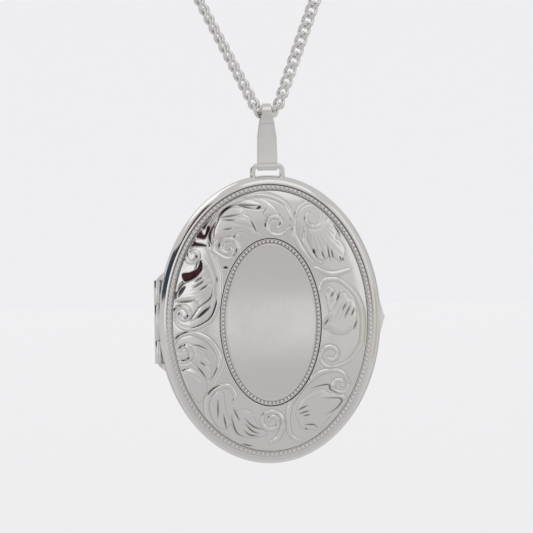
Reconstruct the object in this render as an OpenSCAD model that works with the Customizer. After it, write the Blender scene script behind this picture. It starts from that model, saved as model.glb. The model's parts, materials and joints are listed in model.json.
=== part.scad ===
// Oval picture locket on a curb chain.
// Millimetres, +Z up, the engraved front faces -Y, the hinge is at -X and the thumb lip at +X.
// The origin is the hanging point, midway between the two end fittings of the chain.
// The locket's own centre lies hang_h below it.

/* [Case] */
// Width of the closed case, across the oval
case_w = 30.8; // [29:0.1:33]
// Height of the closed case, along the oval
case_h = 40; // [38:0.1:43]
// Thickness of the closed case over both domes
case_t = 8; // [7.6:0.1:9]
// Sheet thickness of the covers
wall = 0.45; // [0.4:0.05:0.5]
// Gap between the two halves at the seam
seam_gap = 0.1; // [0.06:0.02:0.2]
// Width of the shoulder from the seam to the flat field
shoulder_w = 2.2; // [2:0.1:2.6]
// Width of the oval plate at the middle of the front
plate_w = 13.4; // [12:0.1:14]

/* [Inside] */
// Depth of the front rim's flange below the seam
front_flange_y = 0.65; // [0.6:0.05:0.7]
// Distance from the outline to the wall of the picture well
well_d = 2.05; // [2.05:0.05:2.4]
// Thickness of a picture card and of a window
sheet_t = 0.22; // [0.15:0.01:0.24]
// How far the snap lip stands into the front half
snap_h = 0.5; // [0.3:0.05:0.55]

/* [Hinge] */
// Radius of the hinge pin
pin_r = 0.25; // [0.2:0.01:0.28]
// Outer radius of a knuckle
knuckle_r = 0.5; // [0.48:0.01:0.56]
// Radial clearance of the turning knuckle on the pin
pin_clearance = 0.03; // [0.01:0.01:0.06]
// Length of the middle knuckle
middle_knuckle_l = 5; // [4:0.1:6]
// Length of an outer knuckle
outer_knuckle_l = 3.25; // [2.5:0.05:4]

/* [Thumb lip] */
// Height of the thumb lip along the seam
lip_h = 5.4; // [4:0.1:7]
// How far the thumb lip stands out of the case
lip_out = 0.58; // [0.4:0.02:0.8]

/* [Loop and bail] */
// Radius of the loop's wire
loop_wire_r = 0.36; // [0.3:0.01:0.38]
// Half width of the loop, between the wire's centres
loop_half_w = 2.02; // [1.9:0.01:2.2]
// Height of the loop's bar above the case's centre
bar_z = 21.3; // [21.1:0.05:21.5]
// Sheet thickness of the bail
bail_t = 0.22; // [0.18:0.01:0.24]
// Inner radius of the bail's eye, where the chain runs
eye_r = 0.97; // [0.95:0.01:1]
// Height of the bail's top above the case's centre
bail_top = 29.9; // [29.5:0.1:30.5]

/* [Chain] */
// Half length of a link, to the wire's centre
link_a = 1.03; // [1:0.01:1.06]
// Half width of a link, to the wire's centre
link_b = 0.63; // [0.6:0.01:0.66]
// How far the twist lifts the wire out of the link's plane
link_c = 0.3; // [0.28:0.01:0.34]
// Radius of the link's wire
link_wire_r = 0.23; // [0.18:0.01:0.235]
// Distance from link to link
link_pitch = 1.46; // [1.44:0.01:1.5]
// Links in each run
run_links = 13; // [13:1:15]
// Lean of the left run from the vertical
left_lean = 27; // [24:1:30]
// Lean of the right run from the vertical
right_lean = 20; // [18:1:26]

/* [End fittings] */
// Radius of a jump ring, to the wire's centre
jump_r = 1.2; // [1.1:0.05:1.4]
// Radius of a jump ring's wire
jump_wire_r = 0.27; // [0.22:0.01:0.28]
// Radius of the bolt ring, to the tube's centre
clasp_r = 2.5; // [2.3:0.1:3]
// Radius of the bolt ring's tube
clasp_tube_r = 0.5; // [0.48:0.01:0.55]
// Travel of the bolt ring's trigger
trigger_travel = 50; // [40:1:52]
// Radius of the hole in the end tag
tag_hole_r = 1.1; // [0.9:0.05:1.2]

/* [Hidden] */

// Height of the hanging point above the case's centre
hang_h = 50.7;
// Points round an oval
oval_n = 64;
// Points round the section of a link's wire, and rings along it
wire_sides = 8;
link_rings = 16;
round_fn = 48;
front = -1;
back = 1;

half_w = case_w / 2;
half_h = case_h / 2;
half_t = case_t / 2;
seam_y = seam_gap / 2;
// Distance from the outline to the edge of the oval plate
plate_d = half_w - plate_w / 2 - 0.15;
// Depth at the edge of the oval plate
plate_y = half_t - 0.3;

// Outside of a cover from the seam to the plate, as [distance inside the outline, depth from the seam]
shell_profile = [
    [0, seam_y], [0, 0.45], [0.25, 1], [0.75, 1.5], [1.3, 1.85], [shoulder_w, 2.25],
    [4.2, 2.93], [6.4, 3.42], [plate_d, plate_y]
];
// Shares of the oval plate's size and of its rise, from its edge inwards
dome_profile = [[0.72, 0.5], [0.4, 0.84], [0.12, 1]];

sterling = [0.80, 0.79, 0.78];
card_white = [0.94, 0.93, 0.90];
window_clear = [0.85, 0.9, 0.92, 0.35];
steel = [0.62, 0.63, 0.65];

// Hinge: the axis runs along Z at the outline's left end
pin_x = -half_w;
knuckle_gap = 0.05;
middle_z0 = -middle_knuckle_l / 2;
upper_z0 = middle_z0 + middle_knuckle_l + knuckle_gap;
lower_z0 = middle_z0 - knuckle_gap - outer_knuckle_l;
notch_r = knuckle_r + 0.12;
notch_in = 0.62;
hinge_half_l = upper_z0 + outer_knuckle_l;
bearer_l = 1.15;

// Distance from the outline to each half's flange: the front one lies deeper, where the shell is narrower
front_flange_d = 0.8;
back_flange_d = 0.5;

// Bail: the eye and the wrap round the loop's bar are concentric with the two pivots
eye_z = bail_top - eye_r - bail_t;
wrap_mid_r = loop_wire_r + 0.05 + bail_t / 2;
front_leaf_y = wrap_mid_r + bail_t + 0.01;
kink_z = 28;
kink_angle = 46;
leaf_end_z = 21.6;

// Chain: turn of each link about its run, from the bail outwards
function left_roll(i) = -52 + 2 * min(i, 8);
function right_roll(i) = -40 - 9 * min(i, 5);
// Slope of the first link of a run and its place beside the link in the bail
first_slope = 50;
first_link = [1.15, 0.33];
jump_roll = -20;
jump_reach = 0.4;
eye_ring_r = 0.75;
eye_wire_r = 0.28;
// Bolt ring, in degrees round its centre, with the eye at 180
mouth_from = 22;
mouth_to = 72;
rod_from = 14;
rod_to = 132;
lug_at = 100;
slot_margin = 7;
spring_from = 192;
spring_to = 262;
bore_r = 0.34;
rod_r = 0.28;
tag_t = 0.5;

// --- Ovals ---

function oval(d) = [for (i = [0 : oval_n - 1])
    [(half_w - d) * cos(360 * i / oval_n), (half_h - d) * sin(360 * i / oval_n)]];

// Moves a shape from the case's centre to its place under the hanging point
module hang() translate([0, 0, -hang_h]) children();

// Turns a shape that is built with its depth along +Y to the front or the back half
module on_half(side) mirror([0, side == front ? 1 : 0, 0]) children();

// Flat oval plate from depth y0 to y1
module oval_plate(d, y0, y1)
    translate([0, y1, 0]) rotate([90, 0, 0]) linear_extrude(y1 - y0) polygon(oval(d));

module oval_band(d0, d1, y0, y1) difference() {
    oval_plate(d0, y0, y1);
    oval_plate(d1, y0 - 0.1, y1 + 0.1);
}

// Closed skin through oval rings, each given as [half width, half height, depth]
module oval_skin(rings) {
    n = oval_n;
    m = len(rings);
    points = [for (r = rings) for (i = [0 : n - 1])
        [r[0] * cos(360 * i / n), r[2], r[1] * sin(360 * i / n)]];
    sides = [for (k = [0 : m - 2]) for (i = [0 : n - 1])
        [k * n + i, k * n + (i + 1) % n, (k + 1) * n + (i + 1) % n, (k + 1) * n + i]];
    polyhedron(points, concat(
        [[for (i = [0 : n - 1]) n - 1 - i]],
        sides,
        [[for (i = [0 : n - 1]) (m - 1) * n + i]]
    ));
}

function shell_ring(p, inset) =
    [half_w - p[0] - inset, half_h - p[0] - inset, p[1]];

function dome_ring(p, drop) = [
    (half_w - plate_d) * p[0], (half_h - plate_d) * p[0],
    plate_y + (half_t - plate_y) * p[1] - drop
];

// Box that clears the knuckles at the edge of either half
module hinge_notch()
    translate([pin_x - 1, -1, -hinge_half_l - knuckle_gap])
        cube([1 + notch_in, 2, 2 * (hinge_half_l + knuckle_gap)]);

module cover_shell() difference() {
    oval_skin(concat(
        [for (i = [len(dome_profile) - 1 : -1 : 0]) dome_ring(dome_profile[i], 0)],
        [for (i = [len(shell_profile) - 1 : -1 : 0]) shell_ring(shell_profile[i], 0)],
        [shell_ring([0, seam_y], wall), shell_ring([0, 0.45], wall)],
        [for (i = [3 : len(shell_profile) - 1])
            shell_ring([shell_profile[i][0], shell_profile[i][1] - wall], 0.05)],
        [for (p = dome_profile) dome_ring(p, wall)]
    ));
    hinge_notch();
}

// --- Halves ---

module cover(side) color(sterling) hang() on_half(side) cover_shell();

// Flange along the edge, wall of the picture well and ledge under the picture
module inner_rim(side, flange_d, flange_y) color(sterling) hang() on_half(side) difference() {
    union() {
        oval_band(flange_d, well_d + 0.25, flange_y, flange_y + 0.3);
        oval_band(well_d, well_d + 0.25, flange_y, 1.65);
        oval_band(well_d, well_d + 1.15, 1.45, 1.65);
    }
    hinge_notch();
}

module picture_card(side) color(card_white) hang() on_half(side)
    oval_plate(well_d + 0.28, 1.45 - sheet_t, 1.44);

module window(side) color(window_clear) hang() on_half(side)
    oval_plate(well_d + 0.28, 1.44 - 2 * sheet_t, 1.44 - sheet_t - 0.02);

// Sprung oval ring that holds the window down in the well
module picture_frame(side) color(sterling) hang() on_half(side) union() {
    oval_band(well_d + 0.28, well_d + 1.05, 0.75, 0.95);
    oval_band(well_d + 0.28, well_d + 0.6, 0.65, 0.95);
}

// Half of the thumb lip: its inner edge follows the case, its outer edge comes to a low point
module thumb_lip(side) {
    z_top = 0.55 * lip_h;
    z_bottom = -0.45 * lip_h;
    inner = [for (s = [0 : 4]) let (z = z_bottom + (z_top - z_bottom) * s / 4)
        [half_w * sqrt(1 - (z / half_h) * (z / half_h)) + 0.005, z]];
    outer = [[half_w + lip_out - 0.1, 0.7], [half_w + lip_out, 0.2], [half_w + lip_out - 0.1, -0.3]];
    color(sterling) hang() on_half(side)
        translate([0, 0.6, 0]) rotate([90, 0, 0]) linear_extrude(0.6 - seam_y)
            polygon(concat(inner, outer));
}

module snap_lip() color(sterling) hang() intersection() {
    oval_band(0.62, 0.92, -snap_h, seam_y);
    translate([8, -2, -8]) cube([10, 4, 16]);
}

// --- Hinge ---

module knuckle(z0, length, bore) difference() {
    translate([pin_x, 0, z0]) cylinder(r = knuckle_r, h = length, $fn = round_fn);
    translate([pin_x, 0, z0 - 1]) cylinder(r = bore, h = length + 2, $fn = round_fn);
}

// Strap that joins a knuckle to its half
module knuckle_strap(side, z0, length) on_half(side) difference() {
    translate([pin_x, 0.1, z0]) cube([notch_in, 0.36, length]);
    translate([pin_x, 0, z0 - 1]) cylinder(r = knuckle_r - 0.04, h = length + 2, $fn = round_fn);
}

module front_hinge_knuckle() color(sterling) hang() union() {
    knuckle(middle_z0, middle_knuckle_l, pin_r + pin_clearance);
    knuckle_strap(front, middle_z0, middle_knuckle_l);
}

module back_hinge_knuckle(z0) color(sterling) hang() union() {
    knuckle(z0, outer_knuckle_l, pin_r + 0.01);
    knuckle_strap(back, z0, outer_knuckle_l);
}

// Wedges above and below the knuckles that fill the corner between hinge and case
module hinge_bearer(side) color(sterling) hang() on_half(side)
    for (up = [0, 1]) mirror([0, 0, up]) {
        z0 = hinge_half_l + knuckle_gap;
        edge = [for (s = [0 : 3]) let (z = z0 + bearer_l * (3 - s) / 3)
            [-half_w * sqrt(1 - (z / half_h) * (z / half_h)) - 0.005, z]];
        translate([0, 0.55, 0]) rotate([90, 0, 0]) linear_extrude(0.55 - seam_y)
            polygon(concat([[pin_x + 0.02, z0], [pin_x + 0.02, z0 + 0.3]], edge));
    }

module hinge_pin() color(steel) hang()
    translate([pin_x, 0, lower_z0 - 0.1])
        cylinder(r = pin_r, h = 2 * outer_knuckle_l + middle_knuckle_l + 2 * knuckle_gap + 0.2, $fn = round_fn);

// --- Loop and bail ---

loop_corner_r = 0.6;

module loop_corner() rotate([90, 0, 0])
    rotate_extrude(angle = 90, $fn = round_fn) translate([loop_corner_r, 0]) circle(loop_wire_r, $fn = 24);

module pendant_loop() {
    leg_z = half_h + 0.02;
    leg_l = bar_z - loop_corner_r - leg_z;
    bar_l = 2 * (loop_half_w - loop_corner_r);
    color(sterling) hang() union() {
        for (side = [0, 1]) mirror([side, 0, 0]) {
            translate([loop_half_w, 0, leg_z]) cylinder(r = loop_wire_r, h = leg_l, $fn = 24);
            translate([loop_half_w - loop_corner_r, 0, bar_z - loop_corner_r]) loop_corner();
            // Foot, soldered to the top edge of the back cover
            translate([loop_half_w - loop_wire_r, seam_y, half_h - 0.6])
                cube([2 * loop_wire_r, 0.65, 0.95]);
        }
        translate([-bar_l / 2, 0, bar_z]) rotate([0, 90, 0])
            cylinder(r = loop_wire_r, h = bar_l, $fn = 24);
    }
}

// Middle line of the folded strip seen from the side, as [depth, height]: up the front leaf,
// over the eye, down the back leaf and round the loop's bar, with its end tucked behind the front leaf
function arc_points(centre, r, from, to, steps) = [for (i = [0 : steps])
    let (a = from + (to - from) * i / steps) centre + r * [cos(a), sin(a)]];

function bail_path() = concat(
    [[-front_leaf_y, leaf_end_z], [-front_leaf_y, 24.5], [-front_leaf_y, 26.6]],
    arc_points([0, eye_z], eye_r + bail_t / 2, 180 + kink_angle, -kink_angle, 20),
    [[0.62, 26.9], [0.54, 25.5], [wrap_mid_r, 24], [wrap_mid_r, 22]],
    arc_points([0, bar_z], wrap_mid_r, 0, -180, 12),
    [[-wrap_mid_r, 22.2]]
);

function side_step(path, i, t) = let (
    d = path[min(i + 1, len(path) - 1)] - path[max(i - 1, 0)],
    u = d / norm(d)) path[i] + t * [-u[1], u[0]];

module bail_side() {
    path = bail_path();
    last = len(path) - 1;
    polygon(concat(
        [for (i = [0 : last]) side_step(path, i, bail_t / 2)],
        [for (i = [last : -1 : 0]) side_step(path, i, -bail_t / 2)]
    ));
}

// Front view of the strip, tapered from the wrap to the top
module bail_front() {
    edge = [[1.37, bar_z - 1], [1.37, 22], [1.3, 25.3], [1, 27.5], [0.84, kink_z], [0.7, kink_z + 0.2],
        [0.6, bail_top - 0.4], [0.6, bail_top + 1]];
    polygon(concat(edge, [for (i = [len(edge) - 1 : -1 : 0]) [-edge[i][0], edge[i][1]]]));
}

module bail() color(sterling) hang() intersection() {
    translate([-2, 0, 0]) rotate([90, 0, 90]) linear_extrude(4) bail_side();
    translate([0, 3, 0]) rotate([90, 0, 0]) linear_extrude(6) bail_front();
}

// --- Chain ---

// A link's pose is [centre, direction along the link, direction across it]
function link_point(pose, t) = let (over = cross(pose[1], pose[2]))
    pose[0] + link_a * cos(t) * pose[1] + link_b * sin(t) * pose[2] + link_c * sin(2 * t) * over;

function unit(v) = v / norm(v);

// Points round the wire at angle t of the link
function link_ring(pose, t) =
    let (c = link_point(pose, t),
         along = unit(link_point(pose, t + 1) - link_point(pose, t - 1)),
         out = unit((c - pose[0]) - ((c - pose[0]) * along) * along),
         up = cross(along, out))
    [for (s = [0 : wire_sides - 1]) let (a = 360 * s / wire_sides)
        c + link_wire_r * (cos(a) * out + sin(a) * up)];

module link(pose) {
    n = wire_sides;
    m = link_rings;
    points = [for (k = [0 : m - 1]) each link_ring(pose, 360 * k / m)];
    faces = [for (k = [0 : m - 1]) for (s = [0 : n - 1])
        let (k1 = (k + 1) % m, s1 = (s + 1) % n)
        each [[k * n + s, k1 * n + s, k1 * n + s1], [k * n + s, k1 * n + s1, k * n + s1]]];
    polyhedron(points, faces);
}

// Direction of a run in the XZ plane, side -1 for the left run and 1 for the right
function run_dir(side, slope) = [side * cos(slope), 0, sin(slope)];

function run_slope(side) = 90 - (side < 0 ? left_lean : right_lean);

function first_centre(side) = [side * first_link[0], 0, eye_z + first_link[1]];

function run_centre(side, i) = i == 0 ? first_centre(side)
    : first_centre(side) + run_dir(side, first_slope) * link_pitch / 2
        + run_dir(side, run_slope(side)) * link_pitch * (i - 0.5);

function run_pose(side, i) =
    let (u = run_dir(side, i == 0 ? first_slope : run_slope(side)),
         roll = side < 0 ? left_roll(i) : right_roll(i),
         across = cross(u, [0, 1, 0]))
    [run_centre(side, i), u, cos(roll) * [0, 1, 0] + sin(roll) * across];

module bail_link() color(sterling) hang() link([[0, 0, eye_z], [1, 0, 0], [0, 1, 0]]);

module chain_run(side) color(sterling) hang()
    for (i = [0 : run_links - 1]) link(run_pose(side, i));

// --- End fittings ---

// Frame of a run's end: x along the run, turned about it, with its centre reach beyond the last link
module at_run_end(side, reach, roll)
    translate(run_centre(side, run_links - 1) + run_dir(side, run_slope(side)) * reach)
        rotate([0, side < 0 ? run_slope(side) - 180 : -run_slope(side), 0])
            rotate([roll, 0, 0]) children();

module torus(r, wire, turn = 360) rotate_extrude(angle = turn, $fn = round_fn)
    translate([r, 0]) circle(wire, $fn = 24);

function last_roll(side) = side < 0 ? left_roll(run_links - 1) : right_roll(run_links - 1);

// Turn of a jump ring about its run, across the last link
function jump_turn(side) = 90 + last_roll(side) - jump_roll;

module jump_ring(side) color(sterling) hang()
    at_run_end(side, jump_reach + jump_r, jump_turn(side)) torus(jump_r, jump_wire_r);

// From the bolt ring's centre to the middle of its eye
eye_arm = clasp_r + clasp_tube_r + eye_ring_r + eye_wire_r - 0.12;
clasp_reach = jump_reach + 2 * jump_r + eye_arm;

module at_clasp() hang() at_run_end(-1, clasp_reach, jump_turn(-1) + 90) children();

// Part of a solid ring between two angles
module ring_arc(from, to, r) rotate([0, 0, from])
    rotate_extrude(angle = to - from, $fn = round_fn) translate([clasp_r, 0]) circle(r, $fn = 24);

module clasp_body() color(sterling) at_clasp() difference() {
    union() {
        ring_arc(mouth_to, mouth_from + 360, clasp_tube_r);
        translate([-eye_arm, 0, 0]) torus(eye_ring_r, eye_wire_r);
    }
    // Bore for the rod and its spring, and the socket that the rod's tip enters
    ring_arc(mouth_to - 1, spring_to + 10, bore_r);
    ring_arc(rod_from - 1, mouth_from + 1, bore_r);
    // Slot for the trigger's lug
    rotate([0, 0, lug_at - slot_margin])
        rotate_extrude(angle = trigger_travel + 2 * slot_margin, $fn = round_fn)
            translate([clasp_r, -0.2]) square([1, 0.4]);
}

module clasp_trigger() color(sterling) at_clasp() union() {
    ring_arc(rod_from, rod_to, rod_r);
    rotate([0, 0, lug_at]) translate([clasp_r, 0, 0]) rotate([0, 90, 0])
        cylinder(r = 0.15, h = clasp_tube_r + 0.45, $fn = 24);
}

// Coil spring behind the trigger's rod, drawn at its solid length
module clasp_spring() color(steel) at_clasp() {
    turns = 8;
    steps = 12;
    sides = 6;
    n = turns * steps;
    centre = [for (k = [0 : n]) let (a = spring_from + (spring_to - spring_from) * k / n, b = 360 * k / steps)
        [(clasp_r + 0.2 * cos(b)) * cos(a), (clasp_r + 0.2 * cos(b)) * sin(a), 0.2 * sin(b)]];
    points = [for (k = [0 : n])
        let (a = spring_from + (spring_to - spring_from) * k / n, b = 360 * k / steps,
             along = unit(centre[min(k + 1, n)] - centre[max(k - 1, 0)]),
             out = [cos(b) * cos(a), cos(b) * sin(a), sin(b)],
             e1 = unit(out - (out * along) * along), e2 = cross(along, e1))
        each [for (s = [0 : sides - 1]) centre[k] + 0.06 * (cos(360 * s / sides) * e1 + sin(360 * s / sides) * e2)]];
    polyhedron(points, concat(
        [[for (s = [0 : sides - 1]) s]],
        [for (k = [0 : n - 1]) for (s = [0 : sides - 1])
            [k * sides + s, (k + 1) * sides + s, (k + 1) * sides + (s + 1) % sides, k * sides + (s + 1) % sides]],
        [[for (s = [0 : sides - 1]) n * sides + sides - 1 - s]]
    ));
}

// Flat tag with a small hole on the jump ring and a large hole for another fitting
module end_tag() {
    small_r = 0.6;
    gap = 3;
    color(sterling) hang() at_run_end(1, jump_reach + 2 * jump_r, jump_turn(1) + 90)
        translate([0, 0, -tag_t / 2]) linear_extrude(tag_t) difference() {
            union() {
                circle(1.05, $fn = round_fn);
                translate([gap, 0]) circle(tag_hole_r + 0.65, $fn = round_fn);
                polygon([[0, -1.05], [gap, -tag_hole_r - 0.65], [gap, tag_hole_r + 0.65], [0, 1.05]]);
            }
            circle(small_r, $fn = round_fn);
            translate([gap, 0]) circle(tag_hole_r, $fn = round_fn);
        }
}

cover(front);  // front_cover
inner_rim(front, front_flange_d, front_flange_y);  // front_inner_rim
picture_card(front);  // front_picture_card
window(front);  // front_window
picture_frame(front);  // front_picture_frame
front_hinge_knuckle();
hinge_bearer(front);  // front_hinge_bearer
thumb_lip(front);  // front_thumb_lip
cover(back);  // back_cover
inner_rim(back, back_flange_d, seam_y);  // back_inner_rim
picture_card(back);  // back_picture_card
window(back);  // back_window
picture_frame(back);  // back_picture_frame
back_hinge_knuckle(upper_z0);  // back_hinge_knuckle_upper
back_hinge_knuckle(lower_z0);  // back_hinge_knuckle_lower
hinge_bearer(back);  // back_hinge_bearer
hinge_pin();
thumb_lip(back);  // back_thumb_lip
snap_lip();
pendant_loop();
bail();
bail_link();
chain_run(-1);  // chain_left
chain_run(1);  // chain_right
jump_ring(-1);  // jump_ring_left
jump_ring(1);  // jump_ring_right
clasp_body();
clasp_trigger();
clasp_spring();
end_tag();
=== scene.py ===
import json
import math

import bmesh
import bpy
import numpy as np
from mathutils import Matrix, Vector


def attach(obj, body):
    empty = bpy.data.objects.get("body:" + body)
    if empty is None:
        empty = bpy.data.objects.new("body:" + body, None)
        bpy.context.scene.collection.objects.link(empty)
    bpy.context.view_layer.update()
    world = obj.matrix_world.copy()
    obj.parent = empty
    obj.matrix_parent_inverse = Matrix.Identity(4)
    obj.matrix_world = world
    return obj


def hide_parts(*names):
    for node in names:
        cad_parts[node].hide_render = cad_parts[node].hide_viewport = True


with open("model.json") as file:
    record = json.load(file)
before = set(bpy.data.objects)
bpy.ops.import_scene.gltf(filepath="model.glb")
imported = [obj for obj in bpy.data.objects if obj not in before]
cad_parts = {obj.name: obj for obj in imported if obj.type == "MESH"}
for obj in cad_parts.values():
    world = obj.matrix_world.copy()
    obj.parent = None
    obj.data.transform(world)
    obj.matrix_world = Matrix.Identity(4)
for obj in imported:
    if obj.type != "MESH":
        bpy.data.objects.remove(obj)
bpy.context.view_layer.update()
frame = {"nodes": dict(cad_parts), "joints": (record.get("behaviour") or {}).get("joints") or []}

joints = {j["name"]: j for j in frame["joints"]}
mm = 0.001
print("frame loaded:", len(frame["nodes"]), "nodes")

# All sizes below are millimetres, measured from the middle of the closed case.
caseZ = joints["cover_hinge"]["pos_m"][2] / mm
pinX = joints["cover_hinge"]["pos_m"][0] / mm
barZ = joints["case_swing"]["pos_m"][2] / mm - caseZ
eyeZ = joints["bail_swing"]["pos_m"][2] / mm - caseZ

case = {
    "halfWidth": -pinX,
    "halfHeight": 20.0,
    "halfThick": 4.0,
    "plateHalfWidth": 6.2,     # inside this the oval shrinks in proportion
    "plateRise": 0.28,
    "fieldFrom": 1.98,         # distances inside the outline
    "fieldTo": 8.38,
    "notchHalf": 5.92,         # both covers keep clear of the hinge's barrel
    "notchRadius": 0.57,
}
extraHeight = case["halfHeight"] - case["halfWidth"]


class Sock:  # wraps a socket, so that masks read as sums and products
    def __init__(self, paint, out):
        self.paint, self.out = paint, out

    def maths(self, operation, first, second):
        return self.paint.node("ShaderNodeMath", {"operation": operation}, [first, second])

    def __add__(self, other):
        return self.maths("ADD", self, other)

    def __radd__(self, other):
        return self.maths("ADD", other, self)

    def __mul__(self, other):
        return self.maths("MULTIPLY", self, other)

    def __rmul__(self, other):
        return self.maths("MULTIPLY", other, self)


class Paint:  # one material and its nodes
    def __init__(self, name):
        self.material = bpy.data.materials.new(name)
        self.material.use_nodes = True
        self.tree = self.material.node_tree
        self.shader = self.tree.nodes["Principled BSDF"]

    def node(self, kind, settings=None, inputs=(), output=0):
        made = self.tree.nodes.new(kind)
        for key, value in (settings or {}).items():
            setattr(made, key, value)
        pairs = inputs.items() if isinstance(inputs, dict) else enumerate(inputs)
        for key, value in pairs:
            self.feed(made.inputs[key], value)
        return Sock(self, made.outputs[output])

    def feed(self, socket, value):
        if isinstance(value, Sock):
            self.tree.links.new(value.out, socket)
        elif socket.type == "RGBA":
            socket.default_value = (*value, 1)
        else:
            socket.default_value = value

    def set(self, **sockets):
        for name, value in sockets.items():
            self.feed(self.shader.inputs[name.replace("_", " ")], value)
        return self.material

    def place(self, scale=(1, 1, 1)):
        at = self.node("ShaderNodeTexCoord", output=3)
        return self.node("ShaderNodeMapping", {}, {"Vector": at, "Scale": scale})

    def noise(self, scale, detail=3.0, stretch=(1, 1, 1)):
        return self.node("ShaderNodeTexNoise", {}, {
            "Vector": self.place(stretch), "Scale": scale, "Detail": detail})

    def band(self, value, low, high):  # 0 below low, 1 above high
        return self.node("ShaderNodeMapRange", {"clamp": True}, {
            "Value": value, "From Min": low, "From Max": high})

    def mix(self, share, first, second):
        ends = {0: share, 6: first, 7: second}
        return self.node("ShaderNodeMix", {"data_type": "RGBA"}, ends, output=2)

    def bump(self, height, strength, distance):
        return self.node("ShaderNodeBump", {}, {
            "Height": height, "Strength": strength, "Distance": distance * mm})


# Silver: bright metal, faint haze in large patches, fine polishing scratches, and in the cuts and grooves
# a dark maroon that is partly oxide and partly painted shade and painted reflection
silverLooks = {
    "bright": (0.90, 0.888, 0.882),
    "warm": (0.86, 0.838, 0.825),
    # dark maroon of the cuts and grooves: partly oxide, partly painted shade and a painted reflection
    "oxideAndShade": (0.085, 0.036, 0.038),
    "hazeSize": 160,
    "hazeRoughness": 0.05,
    "scratchSize": 2600,
    "oxideRoughness": 0.22,
}


def silver(name, rough=0.12, scratch=0.05, oxideAndShade=False, brushed=None, grainDepth=0.0015):
    paint = Paint(name)
    haze = paint.band(paint.noise(silverLooks["hazeSize"], 2), 0.42, 0.7)
    fine = paint.noise(silverLooks["scratchSize"], 2, brushed or (1, 0.25, 1))
    colour = paint.mix(haze * 0.45, silverLooks["bright"], silverLooks["warm"])
    roughness = rough + haze * silverLooks["hazeRoughness"] + paint.band(fine, 0.45, 0.75) * scratch
    if oxideAndShade:
        # darkening read from the mesh: oxide together with painted shade in the cuts and grooves
        deep = paint.node("ShaderNodeAttribute", {"attribute_name": "shadedRecess"}, output=2)
        colour = paint.mix(deep, colour, silverLooks["oxideAndShade"])
        roughness = roughness + deep * silverLooks["oxideRoughness"]
    paint.set(Metallic=1.0, Base_Color=colour, Roughness=roughness,
              Normal=paint.bump(fine, 0.35, grainDepth))
    return paint.material


def steelWire():
    paint = Paint("drawnSteel")
    lines = paint.noise(5000, 2, (1, 1, 0.05))
    return paint.set(Metallic=1.0, Base_Color=paint.mix(lines, (0.56, 0.57, 0.59), (0.68, 0.69, 0.71)),
                     Roughness=0.24 + lines * 0.12, Normal=paint.bump(lines, 0.3, 0.004))


def blankCard():
    paint = Paint("blankCard")
    pulp = paint.noise(1800, 4)
    cloud = paint.noise(120, 2)
    return paint.set(Base_Color=paint.mix(cloud, (0.86, 0.84, 0.79), (0.93, 0.915, 0.875)),
                     Roughness=0.78 + pulp * 0.1, Normal=paint.bump(pulp, 0.4, 0.01))


def clearSheet():
    paint = Paint("clearSheet")
    smear = paint.band(paint.noise(90, 3), 0.45, 0.75)
    return paint.set(Base_Color=(0.95, 0.97, 0.97), Roughness=0.05 + smear * 0.12,
                     Alpha=0.13 + smear * 0.05, IOR=1.48)


engravedSilver = silver("engravedSilver", 0.12, 0.06, oxideAndShade=True)
polishedSilver = silver("polishedSilver", 0.10, 0.05)
plateSilver = silver("plateSilver", 0.095, 0.04, oxideAndShade=True, grainDepth=0.0006)
brushedSilver = silver("brushedSilver", 0.24, 0.14, brushed=(1, 1, 0.06), grainDepth=0.004)
wireSilver = silver("wireSilver", 0.13, 0.07)
steel = steelWire()
card = blankCard()
clear = clearSheet()
print("materials made")


# Names a finished mesh or bmesh, moves it from the case's middle to the frame, and hands it to its body
def finish(made, name, body, material, nodes=()):
    if isinstance(made, bmesh.types.BMesh):
        mesh = bpy.data.meshes.new(name)
        made.to_mesh(mesh)
        made.free()
    else:
        mesh = made
    mesh.transform(Matrix.Translation((0, 0, caseZ * mm)) @ Matrix.Scale(mm, 4))
    mesh.shade_smooth()
    mesh.materials.append(material)
    piece = bpy.data.objects.new(name, mesh)
    bpy.context.scene.collection.objects.link(piece)
    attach(piece, body)
    if nodes:
        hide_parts(*nodes)
    return piece


def softEdges(piece, width, segments=2, angle=35):
    bevel = piece.modifiers.new("edges", "BEVEL")
    bevel.width, bevel.segments = width * mm, segments
    bevel.limit_method, bevel.angle_limit = "ANGLE", math.radians(angle)
    piece.modifiers.new("normals", "WEIGHTED_NORMAL").keep_sharp = True


# Rounds the corners of an outline: each corner becomes a short arc
def rounded(outline, radius, closed=True, steps=3):
    points = [Vector(p) for p in outline]
    out = []
    for i, corner in enumerate(points):
        if not closed and i in (0, len(points) - 1):
            out.append(corner)
            continue
        before, after = points[i - 1], points[(i + 1) % len(points)]
        reach = min(radius, (before - corner).length * 0.45, (after - corner).length * 0.45)
        start = corner + (before - corner).normalized() * reach
        end = corner + (after - corner).normalized() * reach
        for k in range(steps + 1):
            t = k / steps
            out.append((1 - t) ** 2 * start + 2 * t * (1 - t) * corner + t * t * end)
    return [(p.x, p.y) for p in out]


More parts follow.
